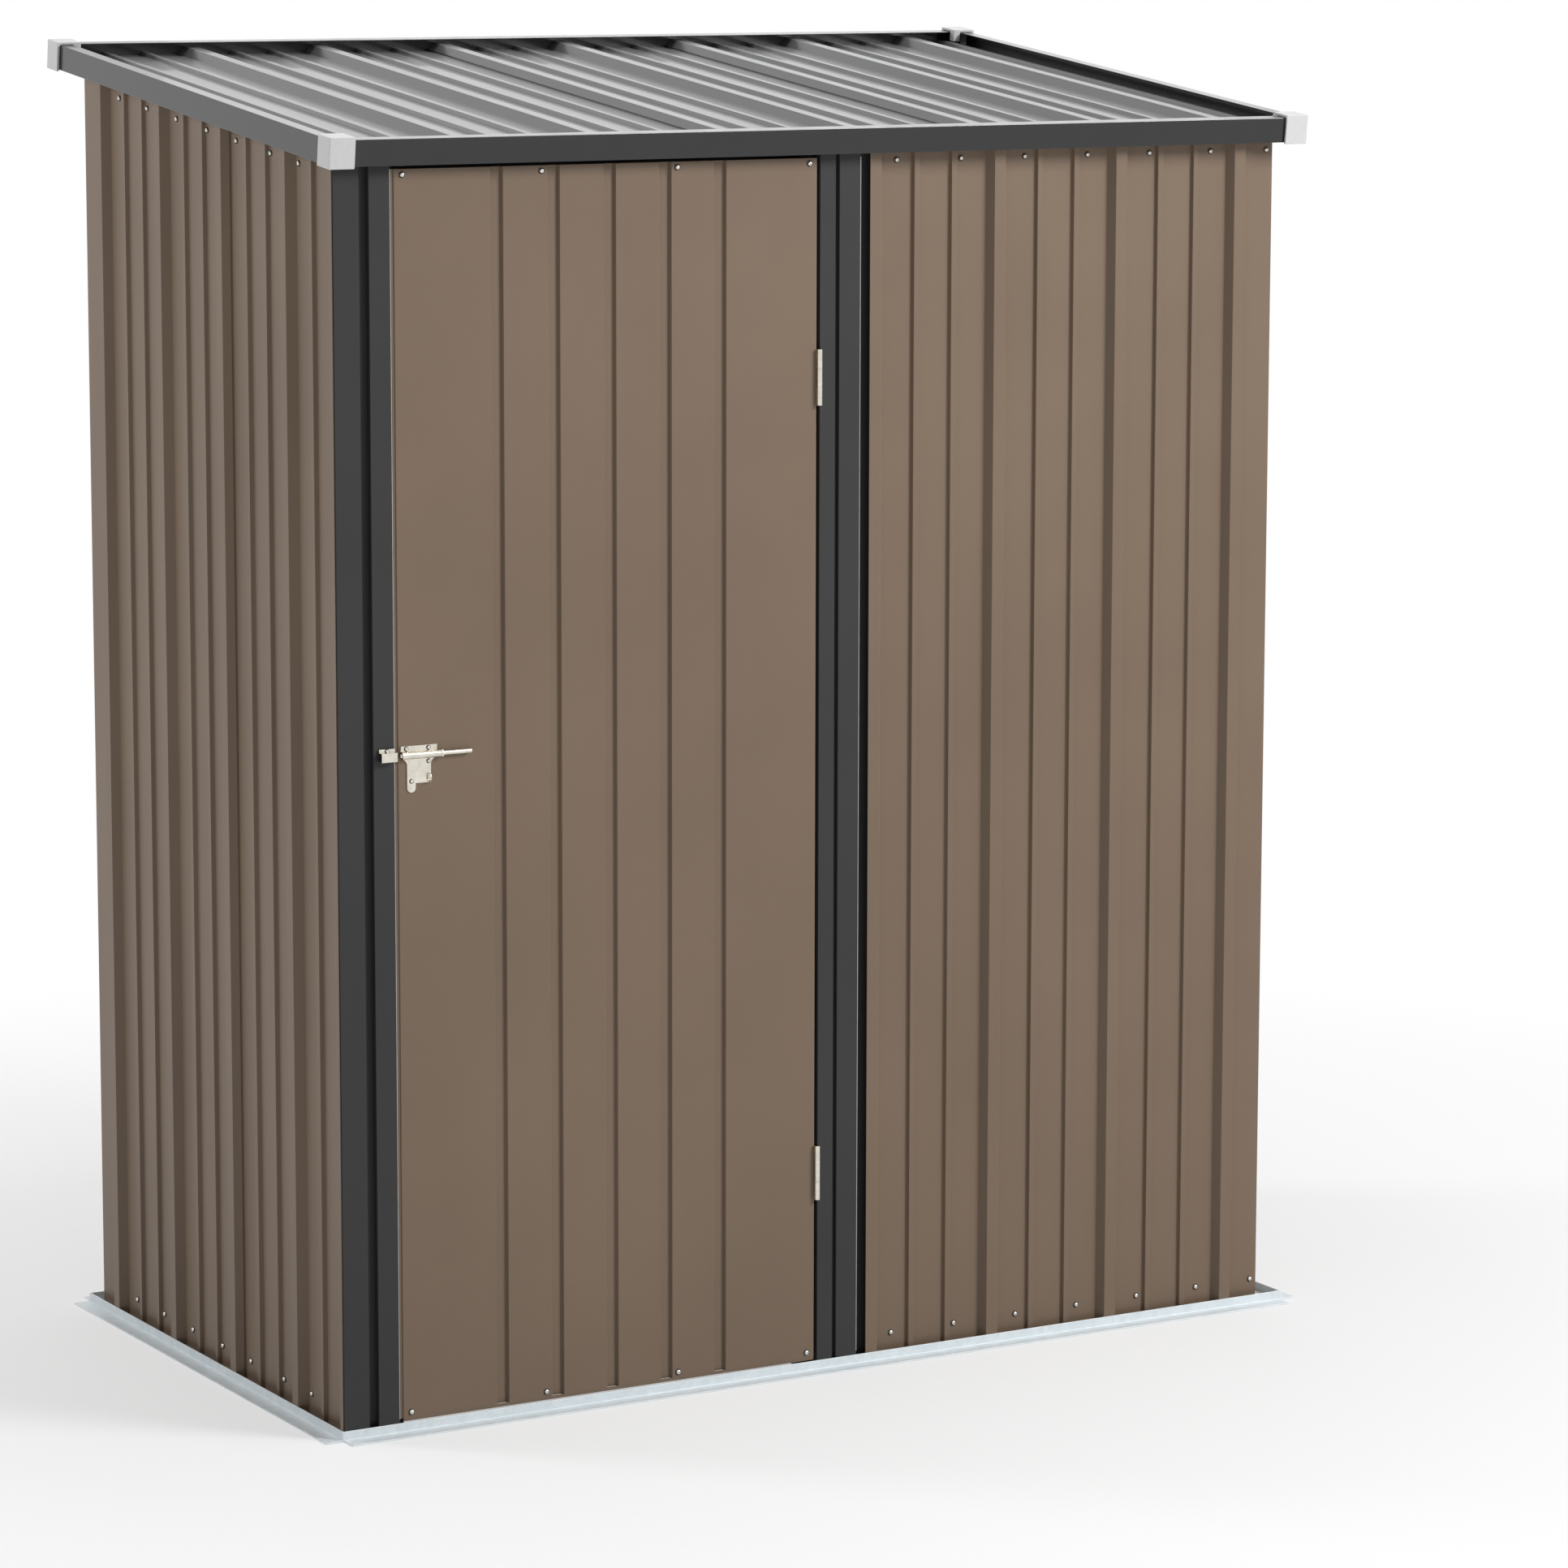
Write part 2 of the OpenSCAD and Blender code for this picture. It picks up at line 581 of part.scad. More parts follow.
module hinge_lower_door_leaf() { door_leaf(hinge_low_z); }
module hinge_lower_post_leaf() { post_leaf(hinge_low_z); }

// Slide bolt: a shaped plate with a barrel on the door, a round bolt in it and a keeper on the post
barrel_r = bolt_d / 2 + run + latch_t;
bead_w = 3;
bead_r = barrel_r + 0.8;
tip = bolt_d / 5;
module bolt_line(x0, x1, r0, r1) {
  translate([x0, bolt_y, bolt_z]) rotate([0, 90, 0]) cylinder(r1 = r0, r2 = r1, h = x1 - x0);
}
// Concave shoulder between the wide top and the narrow body of the plate
module shoulder(x, out) {
  difference() {
    translate([min(x, x + out * shoulder_r), bolt_z - barrel_r - shoulder_r]) square(shoulder_r);
    translate([x + out * shoulder_r, bolt_z - barrel_r - shoulder_r]) circle(r = shoulder_r);
  }
}
module plate_outline() {
  body_x0 = plate_x0 + shoulder_r;
  body_x1 = plate_x1 - shoulder_r;
  translate([plate_x0, bolt_z - barrel_r]) square([plate_w, barrel_r + plate_up]);
  translate([body_x0, bolt_z - plate_down]) square([body_x1 - body_x0, plate_down]);
  translate([body_x0, bolt_z - plate_down - tail_l + tail_w / 2]) square([tail_w, tail_l]);
  translate([body_x0 + tail_w / 2, bolt_z - plate_down - tail_l + tail_w / 2]) circle(d = tail_w);
  shoulder(body_x0, -1);
  shoulder(body_x1, 1);
}
module staple() {
  translate([plate_x1 - shoulder_r - staple_wire, rib_y0 - latch_t, bolt_z - plate_down + staple_d / 2])
    rotate([0, 90, 0]) rotate([0, 0, 180]) rotate_extrude(angle = 180)
      translate([(staple_d - staple_wire) / 2, 0]) circle(d = staple_wire);
}
module latch_plate() {
  color(nickel) place() difference() {
    union() {
      translate([0, rib_y0, 0]) rotate([90, 0, 0]) linear_extrude(latch_t) plate_outline();
      box([plate_x0, bolt_y, bolt_z - barrel_r], [plate_x1, rib_y0 - latch_t / 2, bolt_z + barrel_r]);
      bolt_line(barrel_x0, barrel_x0 + barrel_l, barrel_r, barrel_r);
      bolt_line(barrel_x0, barrel_x0 + bead_w, bead_r, bead_r);
      bolt_line(barrel_x0 + barrel_l - bead_w, barrel_x0 + barrel_l, bead_r, bead_r);
      staple();
    }
    bolt_line(barrel_x0 - over, barrel_x0 + barrel_l + over, bolt_d / 2 + run, bolt_d / 2 + run);
    box(
      [barrel_x0 - over, rib_y0, bolt_z - bead_r],
      [barrel_x0 + barrel_l + over, rib_y0 + bead_r, bolt_z + bead_r]
    );
  }
}
module latch_bolt() {
  x1 = bolt_x0 + bolt_l;
  color(nickel) place() union() {
    bolt_line(bolt_x0, bolt_x0 + tip, bolt_d / 2 - tip, bolt_d / 2);
    bolt_line(bolt_x0 + tip, x1 - tip, bolt_d / 2, bolt_d / 2);
    bolt_line(x1 - tip, x1, bolt_d / 2, bolt_d / 2 - tip);
  }
}
// Keeper: a strap folded round the bolt, with its foot on the post over the bolt
keeper_gap = 1.2;
module latch_keeper() {
  wide = bolt_d / 2 + keeper_gap;
  front = bolt_y - wide;
  path = [
    [rib_y0, bolt_z - wide], [front, bolt_z - wide],
    [front, bolt_z + wide], [rib_y0 - latch_t, bolt_z + wide],
    [rib_y0 - latch_t, bolt_z + wide + keeper_foot]
  ];
  color(nickel) place() along_x(keeper_x0, keeper_x1) polygon(folded(path, latch_t));
}

base_rail_front();
base_rail_back();
base_rail_left();
base_rail_right();
corner_post_front_left();
corner_post_front_right();
corner_post_back_left();
corner_post_back_right();
door_post();
door_head();
top_rail_front();
top_rail_back();
top_rail_left();
top_rail_right();
front_wall_panel();
left_wall_panel_front();
left_wall_panel_back();
right_wall_panel_front();
right_wall_panel_back();
back_wall_panel_left();
back_wall_panel_middle();
back_wall_panel_right();
door_skin();
door_top_rail();
door_bottom_rail();
hinge_upper_door_leaf();
hinge_upper_post_leaf();
hinge_lower_door_leaf();
hinge_lower_post_leaf();
latch_plate();
latch_bolt();
latch_keeper();
roof_fascia_front();
roof_fascia_back();
roof_fascia_left();
roof_fascia_right();
roof_cap_front_left();
roof_cap_front_right();
roof_cap_back_left();
roof_cap_back_right();
roof_sheet_left();
roof_sheet_middle();
roof_sheet_right();
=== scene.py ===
"""Metal tool shed: finishes, fasteners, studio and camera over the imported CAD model."""
import math

import bmesh
import bpy
from mathutils import Matrix, Vector


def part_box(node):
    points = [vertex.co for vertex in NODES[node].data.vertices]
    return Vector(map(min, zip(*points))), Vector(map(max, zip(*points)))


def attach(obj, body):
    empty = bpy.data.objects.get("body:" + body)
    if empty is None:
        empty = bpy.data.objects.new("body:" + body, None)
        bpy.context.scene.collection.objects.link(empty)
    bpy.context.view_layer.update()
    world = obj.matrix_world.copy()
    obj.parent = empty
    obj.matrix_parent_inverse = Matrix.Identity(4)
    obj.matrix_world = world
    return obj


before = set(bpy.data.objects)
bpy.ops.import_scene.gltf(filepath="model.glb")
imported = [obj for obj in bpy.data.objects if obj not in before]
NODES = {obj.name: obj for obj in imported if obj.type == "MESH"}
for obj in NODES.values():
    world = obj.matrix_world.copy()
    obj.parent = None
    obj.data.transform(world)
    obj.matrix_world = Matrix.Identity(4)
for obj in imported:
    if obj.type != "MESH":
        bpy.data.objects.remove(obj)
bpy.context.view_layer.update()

# Metres in a millimetre: places of pieces are in millimetres, studio places in metres
MM = 0.001
RAIL_T = 2.0
RIB_H = 12.0
ROOF_SLOPE = math.radians(6.54)


def low(node, axis):
    """Low end of a CAD node along an axis, in millimetres."""
    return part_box(node)[0][axis] / MM


def high(node, axis):
    """High end of a CAD node along an axis, in millimetres."""
    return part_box(node)[1][axis] / MM


# Flats between the walls' ribs
FRONT_PAN = low("front_wall_panel", 1) + RIB_H
LEFT_PAN = low("left_wall_panel_back", 0) + RIB_H
RIGHT_PAN = high("right_wall_panel_back", 0) - RIB_H
BACK_PAN = high("back_wall_panel_middle", 1) - RIB_H
# The door's front face, free edge, hinge edge and ends
DOOR_FACE = low("door_skin", 1)
DOOR_EDGE = low("door_skin", 0)
DOOR_HINGE_EDGE = high("door_skin", 0)
DOOR_LOW = low("door_skin", 2)
DOOR_ENDS = (DOOR_LOW, high("door_skin", 2))
# Outer edges of the base, from which the screws are measured
LEFT_LIP = low("base_rail_front", 0) - RAIL_T
FRONT_LIP = low("base_rail_left", 1)


# Node helpers
NOISE_LOW = 0.3
NOISE_HIGH = 0.7


def node_of(tree, kind):
    return next(n for n in tree.nodes if n.type == kind)


def new_material(name):
    mat = bpy.data.materials.new(name)
    mat.use_nodes = True
    tree = mat.node_tree
    return mat, tree, node_of(tree, "BSDF_PRINCIPLED")


def add(tree, kind, **values):
    node = tree.nodes.new(kind)
    for key, value in values.items():
        setattr(node, key, value)
    return node


def noise(tree, scale, stretch=(1, 1, 1), detail=3.0):
    coords = add(tree, "ShaderNodeTexCoord")
    mapping = add(tree, "ShaderNodeMapping")
    mapping.inputs["Scale"].default_value = stretch
    tex = add(tree, "ShaderNodeTexNoise")
    tex.inputs["Scale"].default_value = scale
    tex.inputs["Detail"].default_value = detail
    tree.links.new(coords.outputs["Object"], mapping.inputs["Vector"])
    tree.links.new(mapping.outputs["Vector"], tex.inputs["Vector"])
    return tex.outputs[0]


def spread(tree, value, lo, hi, from_lo=NOISE_LOW, from_hi=NOISE_HIGH):
    node = add(tree, "ShaderNodeMapRange")
    node.inputs["From Min"].default_value = from_lo
    node.inputs["From Max"].default_value = from_hi
    node.inputs["To Min"].default_value = lo
    node.inputs["To Max"].default_value = hi
    tree.links.new(value, node.inputs["Value"])
    return node.outputs["Result"]


def two_tone(tree, value, dark, light, at_dark=NOISE_LOW, at_light=NOISE_HIGH):
    ramp = add(tree, "ShaderNodeValToRGB")
    ramp.color_ramp.elements[0].position = at_dark
    ramp.color_ramp.elements[0].color = (*dark, 1)
    ramp.color_ramp.elements[1].position = at_light
    ramp.color_ramp.elements[1].color = (*light, 1)
    tree.links.new(value, ramp.inputs["Fac"])
    return ramp.outputs["Color"]


def bump(tree, shader, value, strength, depth):
    node = add(tree, "ShaderNodeBump")
    node.inputs["Strength"].default_value = strength
    node.inputs["Distance"].default_value = depth
    tree.links.new(value, node.inputs["Height"])
    tree.links.new(node.outputs["Normal"], shader.inputs["Normal"])


def scaled(colour, factor):
    return tuple(c * factor for c in colour)


# Finishes: texture scales are in noise cells a metre and bump depths in metres
CLOUD_SCALE = 4.0
CLOUD_TONE = 0.05
STREAK_SCALE = 30.0
STREAK_GLOSS = 0.03
PEEL_SCALE = 700.0
PEEL_DEPTH = 0.0002
COAT_ROUGH = 0.06
UPRIGHT_STREAKS = (1, 1, 0.05)
SLOPE_STREAKS = (1, 0.05, 1)

SPANGLE_SCALE = 110.0
SPANGLE_RANGE = (0.1, 0.9)
ZINC_DARK = (0.69, 0.75, 0.775)
ZINC_LIGHT = (0.76, 0.81, 0.835)
ZINC_ROUGH = (0.40, 0.50)
ZINC_METALLIC = 0.15
ZINC_WAVE_SCALE = 60.0
ZINC_WAVE = 0.05
ZINC_WAVE_DEPTH = 0.0004

TARNISH_SCALE = 90.0
TARNISH_TONE = 0.82
DRAW_SCALE = 300.0
DRAW_GLOSS = (-0.06, 0.08)
DRAW_STRETCH = (0.05, 1, 1)
DRAW_BUMP = 0.06
DRAW_DEPTH = 0.0002

GRAIN_SCALE = 350.0
GRAIN_GLOSS = (-0.05, 0.08)
GRAIN_TONE = 0.93
GRAIN_BUMP = 0.15
GRAIN_DEPTH = 0.0003


def painted(name, colour, rough, specular, coat=0.0, peel=0.10, drawn=UPRIGHT_STREAKS):
    """Baked paint on sheet: faint clouding, drawn streaks in the gloss and a fine orange peel."""
    mat, tree, shader = new_material(name)
    clouds = noise(tree, CLOUD_SCALE, detail=5.0)
    paint = two_tone(tree, clouds, scaled(colour, 1 - CLOUD_TONE), scaled(colour, 1 + CLOUD_TONE))
    tree.links.new(paint, shader.inputs["Base Color"])
    streaks = noise(tree, STREAK_SCALE, stretch=drawn)
    gloss = spread(tree, streaks, rough - STREAK_GLOSS, rough + STREAK_GLOSS)
    tree.links.new(gloss, shader.inputs["Roughness"])
    shader.inputs["Specular IOR Level"].default_value = specular
    shader.inputs["Coat Weight"].default_value = coat
    shader.inputs["Coat Roughness"].default_value = COAT_ROUGH
    bump(tree, shader, noise(tree, PEEL_SCALE, detail=2.0), peel, PEEL_DEPTH)
    return mat


def galvanised(name):
    """Zinc with its spangle of flat crystals."""
    mat, tree, shader = new_material(name)
    coords = add(tree, "ShaderNodeTexCoord")
    cells = add(tree, "ShaderNodeTexVoronoi")
    cells.inputs["Scale"].default_value = SPANGLE_SCALE
    tree.links.new(coords.outputs["Object"], cells.inputs["Vector"])
    grey = add(tree, "ShaderNodeRGBToBW")
    tree.links.new(cells.outputs["Color"], grey.inputs["Color"])
    crystal = grey.outputs["Val"]
    zinc = two_tone(tree, crystal, ZINC_DARK, ZINC_LIGHT, *SPANGLE_RANGE)
    tree.links.new(zinc, shader.inputs["Base Color"])
    tree.links.new(spread(tree, crystal, *ZINC_ROUGH, *SPANGLE_RANGE), shader.inputs["Roughness"])
    shader.inputs["Metallic"].default_value = ZINC_METALLIC
    bump(tree, shader, noise(tree, ZINC_WAVE_SCALE), ZINC_WAVE, ZINC_WAVE_DEPTH)
    return mat


def plated(name, colour, rough):
    """Plated steel with fine draw lines and a little tarnish."""
    mat, tree, shader = new_material(name)
    tarnish = noise(tree, TARNISH_SCALE, detail=4.0)
    plate = two_tone(tree, tarnish, scaled(colour, TARNISH_TONE), colour)
    tree.links.new(plate, shader.inputs["Base Color"])
    lines = noise(tree, DRAW_SCALE, stretch=DRAW_STRETCH)
    gloss = spread(tree, lines, *(rough + change for change in DRAW_GLOSS))
    tree.links.new(gloss, shader.inputs["Roughness"])
    shader.inputs["Metallic"].default_value = 1.0
    bump(tree, shader, lines, DRAW_BUMP, DRAW_DEPTH)
    return mat


def moulded(name, colour, rough):
    """Moulded plastic or rubber with a fine grain."""
    mat, tree, shader = new_material(name)
    grain = noise(tree, GRAIN_SCALE, detail=4.0)
    skin_colour = two_tone(tree, grain, scaled(colour, GRAIN_TONE), colour)
    tree.links.new(skin_colour, shader.inputs["Base Color"])
    gloss = spread(tree, grain, *(rough + change for change in GRAIN_GLOSS))
    tree.links.new(gloss, shader.inputs["Roughness"])
    bump(tree, shader, grain, GRAIN_BUMP, GRAIN_DEPTH)
    return mat


# The roof frame and sheets have a clear coat, little peel and streaks along the slope
GLOSSY = {"peel": 0.02, "drawn": SLOPE_STREAKS}
BROWN = painted("brown_paint", (0.178, 0.126, 0.087), 0.40, 0.3)
ANTHRACITE = painted("anthracite_paint", (0.045, 0.045, 0.0455), 0.38, 0.12)
FASCIA = painted("fascia_paint", (0.009, 0.009, 0.0095), 0.24, 0.4, coat=0.35, **GLOSSY)
ROOF = painted("roof_paint", (0.125, 0.126, 0.127), 0.34, 0.5, coat=0.25, **GLOSSY)
ZINC = galvanised("galvanised_zinc")
NICKEL = plated("nickel_plate", (0.75, 0.71, 0.62), 0.16)
CAP = moulded("cap_plastic", (0.56, 0.56, 0.56), 0.5)
SCREW = plated("screw_plate", (0.74, 0.72, 0.68), 0.24)
# Dark rubber washers under the sheet screws; round the latch and keeper screws the same dark ring
# is a painted shade round the heads
RUBBER_AND_SHADE = moulded("washer_rubber_and_painted_shade", (0.035, 0.034, 0.033), 0.7)
# Pale plated strips along the posts' edges by the doorway are a painted highlight on the dark
# posts' folds
EDGE_HIGHLIGHT = plated("painted_edge_highlight", (0.46, 0.45, 0.44), 0.36)

# Finish and edge radius of the CAD nodes, by the start of their names
FINISHES = [
    ("base_rail", ZINC, 0.5),
    ("corner_post", ANTHRACITE, 0.6),
    ("door_post", ANTHRACITE, 0.6),
    ("door_head", ANTHRACITE, 0.6),
    ("top_rail", ANTHRACITE, 0.6),
    ("roof_fascia", FASCIA, 0.6),
    ("roof_sheet", ROOF, 0.4),
    ("roof_cap", CAP, 1.2),
    ("hinge", NICKEL, 0),
    ("latch", NICKEL, 0),
    ("", BROWN, 0.4),
]
WELD_GAP = 0.01
EDGE_STEPS = 2
EDGE_ANGLE = math.radians(30)
FLAT_WEIGHT = 100


def finish_node(name, obj):
    """Material, rounded edges and flat shading of the large faces of a CAD node."""
    mat, edge = next((m, e) for start, m, e in FINISHES if name.startswith(start))
    obj.data.materials.clear()
    obj.data.materials.append(mat)
    if edge:
        weld = obj.modifiers.new("weld", "WELD")
        weld.merge_threshold = WELD_GAP * MM
        bevel = obj.modifiers.new("edge", "BEVEL")
        bevel.width = edge * MM
        bevel.segments = EDGE_STEPS
        bevel.limit_method = "ANGLE"
        bevel.angle_limit = EDGE_ANGLE
        flat = obj.modifiers.new("flat", "WEIGHTED_NORMAL")
        flat.weight = FLAT_WEIGHT
        flat.keep_sharp = True


for node_name, node_obj in NODES.items():
    finish_node(node_name, node_obj)


# Fasteners
SIDES = 16
# Washer: rim over the head's radius, height of its wall, its rounding, thickness and inner edge
WASHER_RIM = 1.34
WASHER_WALL = 0.6
WASHER_ROUND = 0.4
WASHER_T = 1.0
WASHER_INNER = 0.9
HEAD_SEAT = 0.9
# Radii and heights of a pan head, its top and its cross recess, over the head's radius
HEAD_PROFILE = [(1.0, 0.0), (1.0, 0.1), (0.93, 0.32), (0.8, 0.5), (0.64, 0.6)]
HEAD_TOP = 0.64
CROSS_ARM = 0.46
CROSS_HALF = 0.11
CROSS_DEPTH = 0.3
CROSS_TAPER = 0.8
# Turn of each screw from the one before, in radians
SCREW_TURN = 0.7


def ring(bm, radius, z):
    turns = [2 * math.pi * k / SIDES for k in range(SIDES)]
    return [bm.verts.new((radius * math.cos(a), radius * math.sin(a), z)) for a in turns]


def skin(bm, a, b, slot):
    for k in range(len(a)):
        face = bm.faces.new((a[k - 1], a[k], b[k], b[k - 1]))
        face.material_index = slot


def skins(bm, steps, slot):
    """Skins between the rings at the given radii and heights; returns the last ring."""
    rings = [ring(bm, radius, z) for radius, z in steps]
    for a, b in zip(rings, rings[1:]):
        skin(bm, a, b, slot)
    return rings[-1]


def loop_edges(bm, verts):
    pairs = [(verts[k - 1], verts[k]) for k in range(len(verts))]
    return [bm.edges.get(pair) or bm.edges.new(pair) for pair in pairs]


def screw_template(head):
    """Pan-head screw with a dark washer ring and a cross recess, on z = 0: vertices, and faces with
    slots. The ring is rubber under the sheet screws and painted shade round the latch and keeper
    screws.
    """
    bm = bmesh.new()
    rim = WASHER_RIM * head
    inner = WASHER_INNER * head
    washer = [(rim, 0.0), (rim, WASHER_WALL), (rim - WASHER_ROUND, WASHER_T), (inner, WASHER_T)]
    skins(bm, washer, 1)
    crown = skins(bm, [(head * r, HEAD_SEAT + head * z) for r, z in HEAD_PROFILE], 0)
    arm = head * CROSS_ARM
    half = head * CROSS_HALF
    cross = [(arm, half), (half, half), (half, arm), (-half, arm), (-half, half), (-arm, half)]
    cross += [(-x, -y) for x, y in cross]
    top = HEAD_SEAT + head * HEAD_TOP
    edge = [bm.verts.new((x, y, top)) for x, y in cross]
    foot_z = top - head * CROSS_DEPTH
    foot = [bm.verts.new((x * CROSS_TAPER, y * CROSS_TAPER, foot_z)) for x, y in cross]
    bmesh.ops.triangle_fill(bm, edges=loop_edges(bm, crown) + loop_edges(bm, edge), use_beauty=True)
    skin(bm, foot, edge, 0)
    bm.faces.new(foot)
    bmesh.ops.recalc_face_normals(bm, faces=bm.faces)
    bm.verts.index_update()
    verts = [v.co.copy() for v in bm.verts]
    faces = [([v.index for v in f.verts], f.material_index) for f in bm.faces]
    bm.free()
    return verts, faces


def mesh_object(name, verts, faces, slots, mats, body):
    mesh = bpy.data.meshes.new(name)
    mesh.from_pydata(verts, [], faces)
    for mat in mats:
        mesh.materials.append(mat)
    for poly, index in zip(mesh.polygons, slots):
        poly.material_index = index
    mesh.update()
    obj = bpy.data.objects.new(name, mesh)
    bpy.context.scene.collection.objects.link(obj)
    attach(obj, body)


def fasteners(name, template, places, body):
    """One joined mesh of the template at each place: a point and the way out of the sheet."""
    verts = []
    faces = []
    slots = []
    for turn, (point, out) in enumerate(places):
        spin = Matrix.Rotation(SCREW_TURN * turn, 4, "Z")
        aim = Vector(out).to_track_quat("Z", "Y").to_matrix().to_4x4()
        move = Matrix.Translation(Vector(point) * MM) @ aim @ spin @ Matrix.Scale(MM, 4)
        start = len(verts)
        verts += [move @ v for v in template[0]]
        faces += [[start + i for i in ids] for ids, _ in template[1]]
        slots += [s for _, s in template[1]]
    mesh_object(name, verts, faces, slots, [SCREW, RUBBER_AND_SHADE], body)


SHEET_HEAD_R = 3.2
LATCH_HEAD_R = 2.4
SHEET_SCREW = screw_template(SHEET_HEAD_R)
# The dark washer ring on the latch and keeper screws paints the shade round their heads
LATCH_SCREW = screw_template(LATCH_HEAD_R)
FRONT = (0, -1, 0)
BACK = (0, 1, 0)
LEFT = (-1, 0, 0)
RIGHT = (1, 0, 0)

# Screw places: x from the left lip, y from the front lip, z from the ground
BOTTOM_Z = 34.5
SIDE_TOP_Z = 1670.0
FRONT_TOP_Z = 1674
FRONT_COUNT = 7
FRONT_FIRST = 859
FRONT_STEP = 103.5
FRONT_LAST = 1472
DOOR_COUNT = 4
DOOR_FIRST = 102.5
DOOR_STEP = 204
DOOR_SCREW_Z = (1672.5, 27)
SIDE_SCREW_Y = (124, 210, 317, 410, 510, 608, 703)
BACK_COUNT = 15
BACK_FIRST = 59.6
RIB_PITCH = 200
PAN_STEP = 103
BACK_DEPTH = 826
LATCH_SCREWS = ((101.8, 922.4), (134.4, 922.4), (134.6, 904.5), (109.2, 879))
KEEPER_SCREW = (73, 921.8)
# How far the latch plate and the keeper's foot stand out from the door's face
PLATE_T = 1.5
KEEPER_T = 3.0


def side_top(y):
    """Height of the screws under the roof frame at a depth y from the front lip."""
    return SIDE_TOP_Z + y * math.tan(ROOF_SLOPE)


def rows(xs, plane, heights, out):
    """Screw places at each x and height on a front or back plane."""
    return [((LEFT_LIP + x, plane, z), out) for x in xs for z in heights]


def side_rows(plane, out):
    """Screw places along the foot and the top of a side wall."""
    return [
        ((plane, FRONT_LIP + y, z), out)
        for y in SIDE_SCREW_Y
        for z in (BOTTOM_Z, side_top(y))
    ]


front_xs = [min(FRONT_FIRST + FRONT_STEP * k, FRONT_LAST) for k in range(FRONT_COUNT)]
front_rows = rows(front_xs, FRONT_PAN, (FRONT_TOP_Z, BOTTOM_Z), FRONT)
fasteners("front_wall_screws", SHEET_SCREW, front_rows, "shed")
door_xs = [DOOR_FIRST + DOOR_STEP * k for k in range(DOOR_COUNT)]
fasteners("door_screws", SHEET_SCREW, rows(door_xs, DOOR_FACE, DOOR_SCREW_Z, FRONT), "door")
fasteners("left_wall_screws", SHEET_SCREW, side_rows(LEFT_PAN, LEFT), "shed")
fasteners("right_wall_screws", SHEET_SCREW, side_rows(RIGHT_PAN, RIGHT), "shed")
back_xs = [BACK_FIRST + RIB_PITCH * (k // 2) + PAN_STEP * (k % 2) for k in range(BACK_COUNT)]
back_rows = rows(back_xs, BACK_PAN, (side_top(BACK_DEPTH), BOTTOM_Z), BACK)
fasteners("back_wall_screws", SHEET_SCREW, back_rows, "shed")
# Latch and keeper screws carry the dark ring of painted shade round their heads
latch_places = [((LEFT_LIP + x, DOOR_FACE - PLATE_T, z), FRONT) for x, z in LATCH_SCREWS]
fasteners("latch_screws", LATCH_SCREW, latch_places, "door")
keeper_place = ((LEFT_LIP + KEEPER_SCREW[0], DOOR_FACE - KEEPER_T, KEEPER_SCREW[1]), FRONT)
fasteners("keeper_screw", LATCH_SCREW, [keeper_place], "shed")


# Strips along the edges of the doorway and of the door
def upright(x, y, z):
    return (x * MM, y * MM, z * MM)


def level(y, z, x):
    return (x * MM, y * MM, z * MM)


def strip(name, outline, ends, lie, mat, body):
    """Strip with the given outline, drawn anticlockwise as seen from its far end."""
    count = len(outline)
    verts = [lie(a, b, end) for end in ends for a, b in outline]
    faces = [[k, (k + 1) % count, count + (k + 1) % count, count + k] for k in range(count)]
    faces += [list(range(count))[::-1], list(range(count, 2 * count))]
    mesh_object(name, verts, faces, [0] * len(faces), [mat], body)


# Faces of the posts beside the doorway end short of the posts' full widths
POST_STOP_W = 18.0
DOOR_POST_LEAF_W = 61.0
POST_EDGE = high("corner_post_front_left", 0) - POST_STOP_W
RECESS_EDGE = high("door_post", 0) - DOOR_POST_LEAF_W
# Strip of painted highlight rolled round the post's edge: its radius, its turns in degrees, and its
# middle from the post's edge and face
ROLL_R = 0.6
ROLL_TURNS = range(150, 361, 30)
ROLL_IN = 0.3
ROLL_DEEP = 0.2
# Turned lip: x from the door's free edge and y from its face
FREE_LIP = [(-1.0, 1.6), (-3.9, 1.8), (-3.9, 2.6), (-3.4, 3.0), (0, 3.0), (0, 0.4)]
# Folded hem that ends just above the base rail: y from the door's face and z from its lower edge
HEM = [(0.4, 0.5), (0.4, -3.5), (0.7, -3.9), (1.2, -4.1), (1.7, -3.9), (2.0, -3.5), (2.0, 0.5)]
HEM_INSET = 0.4


def rolled_edge(edge):
    """Outline of a thin pale strip at the right edge of a post's face, a painted highlight along
    the post's fold.
    """
    x = edge - ROLL_IN
    y = DOOR_FACE + ROLL_DEEP
    turns = [math.radians(turn) for turn in ROLL_TURNS]
    return [(x + ROLL_R * math.cos(a), y + ROLL_R * math.sin(a)) for a in turns] + [(x, y)]


# Pale strips that paint a highlight along the edges of the posts by the doorway
for edge_name, edge_x in (("corner_post_painted_highlight", POST_EDGE), ("door_post_painted_highlight", RECESS_EDGE)):
    strip(edge_name, rolled_edge(edge_x), DOOR_ENDS, upright, EDGE_HIGHLIGHT, "shed")
lip = [(DOOR_EDGE + x, DOOR_FACE + y) for x, y in FREE_LIP]
strip("door_free_lip", lip, DOOR_ENDS, upright, BROWN, "door")
hem = [(DOOR_FACE + y, DOOR_LOW + z) for y, z in HEM]
hem_ends = (DOOR_EDGE + HEM_INSET, DOOR_HINGE_EDGE - HEM_INSET)
strip("door_bottom_hem", hem, hem_ends, level, BROWN, "door")


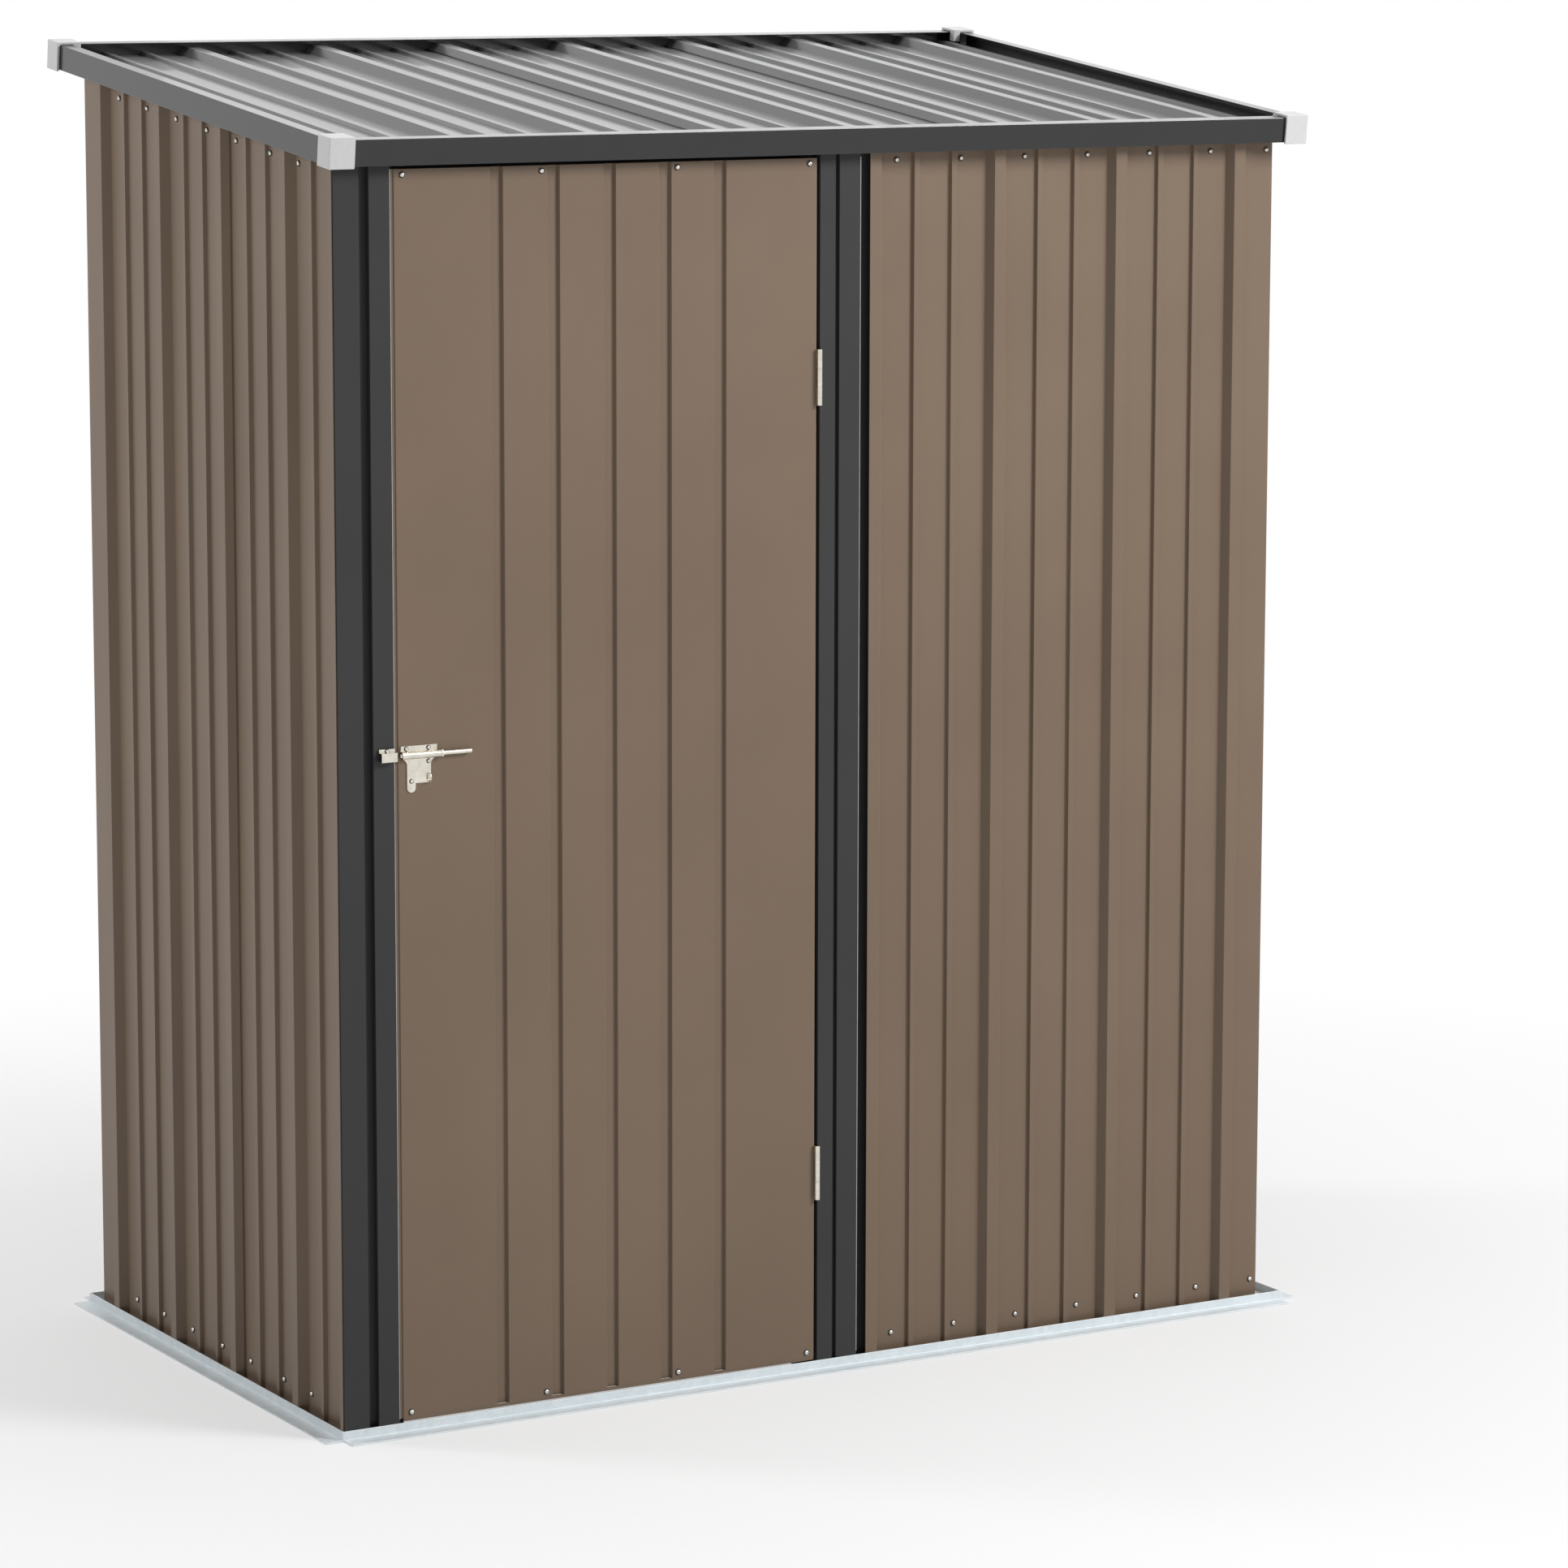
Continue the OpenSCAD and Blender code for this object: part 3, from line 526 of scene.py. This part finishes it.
# Studio, in metres
FLOOR_SIZE = 40
FLOOR_Z = -0.0005
FLOOR_ROUGH = 0.9
FLOOR_GRAIN = 40.0
FLOOR_DARK = (0.875, 0.875, 0.875)
FLOOR_LIGHT = (0.885, 0.885, 0.885)
# Share of white in the floor by the shed, as it lights the shed and as it is seen
LIT_WHITE = 0.25
SEEN_WHITE = 0.5
# Distances from the shed between which the floor turns white
FADE = (1.2, 2.6)
SKY = (0.17, 0.17, 0.177, 1)
WHITE = (1, 1, 1, 1)
# Name, place, aim, power in watts and size of each light
LIGHTS = [
    ("key_right", (3.2, -4.2, 3.9), (0, -0.2, 1.7), 280, 2.2),
    ("rim_left", (-4.6, 3.4, 3.6), (0, 0, 1.2), 122, 1.6),
    ("top", (0, 0.2, 5.6), (0, 0, 0), 130, 4.0),
    ("back_right", (3.6, 6.0, 3.5), (0, 0, 1.75), 10, 3.0),
]
# Camera at the photograph's angle: lens and sensor in millimetres, angles in degrees
LENS = 125.99
SENSOR = 36
SHIFT = (0.05, -0.05)
CAMERA_PLACE = (-3.8231, -6.8029, 2.0244)
CAMERA_DOWN = 8.3596
CAMERA_TURN = -29.5679


def seen_ray(tree):
    """One for the rays that show a background: camera, mirror and glass rays."""
    path = add(tree, "ShaderNodeLightPath")
    value = path.outputs["Is Camera Ray"]
    for ray in ("Is Glossy Ray", "Is Transmission Ray"):
        either = add(tree, "ShaderNodeMath", operation="MAXIMUM")
        tree.links.new(value, either.inputs[0])
        tree.links.new(path.outputs[ray], either.inputs[1])
        value = either.outputs["Value"]
    return value


def mix_shaders(tree, share, first, second, out):
    """Output that goes from the first shader to the second as the share rises."""
    mix = add(tree, "ShaderNodeMixShader")
    tree.links.new(share, mix.inputs["Fac"])
    tree.links.new(first, mix.inputs[1])
    tree.links.new(second, mix.inputs[2])
    tree.links.new(mix.outputs["Shader"], out.inputs["Surface"])


def floor_material():
    """Pale floor near the shed that turns into the white background further out."""
    mat, tree, shader = new_material("studio_floor")
    shader.inputs["Roughness"].default_value = FLOOR_ROUGH
    shader.inputs["Specular IOR Level"].default_value = 0.0
    grain = noise(tree, FLOOR_GRAIN, detail=4.0)
    tree.links.new(two_tone(tree, grain, FLOOR_DARK, FLOOR_LIGHT), shader.inputs["Base Color"])
    coords = add(tree, "ShaderNodeTexCoord")
    length = add(tree, "ShaderNodeVectorMath", operation="LENGTH")
    tree.links.new(coords.outputs["Object"], length.inputs[0])
    fade = spread(tree, length.outputs["Value"], LIT_WHITE, 1.0, *FADE)
    near = spread(tree, seen_ray(tree), LIT_WHITE, SEEN_WHITE, 0, 1)
    tree.links.new(near, fade.node.inputs["To Min"])
    white = add(tree, "ShaderNodeEmission").outputs["Emission"]
    mix_shaders(tree, fade, shader.outputs["BSDF"], white, node_of(tree, "OUTPUT_MATERIAL"))
    return mat


def soft_light(name, place, aim, power, size):
    data = bpy.data.lights.new(name, "AREA")
    data.energy = power
    data.shape = "DISK"
    data.size = size
    obj = bpy.data.objects.new(name, data)
    obj.location = place
    obj.rotation_euler = (Vector(aim) - Vector(place)).to_track_quat("-Z", "Y").to_euler()
    bpy.context.scene.collection.objects.link(obj)


def studio_world():
    """Dim even light, behind which the background shows white."""
    world = bpy.data.worlds.new("studio_white")
    world.use_nodes = True
    tree = world.node_tree
    dim = node_of(tree, "BACKGROUND")
    dim.inputs["Color"].default_value = SKY
    bright = add(tree, "ShaderNodeBackground")
    bright.inputs["Color"].default_value = WHITE
    lights = [node.outputs["Background"] for node in (dim, bright)]
    mix_shaders(tree, seen_ray(tree), *lights, node_of(tree, "OUTPUT_WORLD"))
    return world


bpy.ops.mesh.primitive_plane_add(size=FLOOR_SIZE, location=(0, 0, FLOOR_Z))
floor = bpy.context.object
floor.name = "studio_floor"
floor.data.materials.append(floor_material())
for light in LIGHTS:
    soft_light(*light)
scene = bpy.context.scene
scene.world = studio_world()
lens = bpy.data.cameras.new("camera")
lens.sensor_width = SENSOR
lens.lens = LENS
lens.shift_x = SHIFT[0]
lens.shift_y = SHIFT[1]
camera = bpy.data.objects.new("camera", lens)
camera.location = CAMERA_PLACE
camera.rotation_euler = (math.radians(90 - CAMERA_DOWN), 0, math.radians(CAMERA_TURN))
scene.collection.objects.link(camera)
scene.camera = camera
scene.view_settings.view_transform = "Standard"
